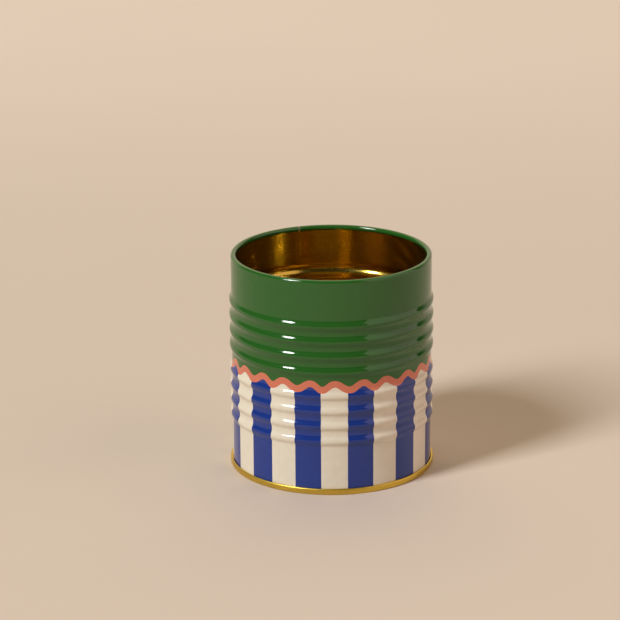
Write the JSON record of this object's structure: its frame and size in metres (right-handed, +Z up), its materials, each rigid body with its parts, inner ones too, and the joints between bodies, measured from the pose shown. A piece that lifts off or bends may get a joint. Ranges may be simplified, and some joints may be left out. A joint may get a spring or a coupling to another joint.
{
  "type": "storage tin",
  "caption": "Open cylindrical printed tin with a rolled rim, sets of rolled beads round the wall and a double-seamed bottom, for keeping papers, small tools and keepsakes.",
  "frame": {"origin": "centre of the tin's axis at the floor, on the plane of the bottom seam's lower edge", "axes": "+Z up along the tin's axis; -Y towards the pictured side; the side lap is at the back, 20 degrees to the left of +Y"},
  "size_m": [0.0826, 0.0826, 0.0882],
  "materials": {
    "printed_tinplate": "gloss",
    "gold_lacquered_tinplate": "gloss",
    "sealing_compound": "matte"
  },
  "bodies": {
    "root": {"can_body": "printed_tinplate", "bottom_end": "gold_lacquered_tinplate", "seam_compound": "sealing_compound"}
  },
  "joints": []
}
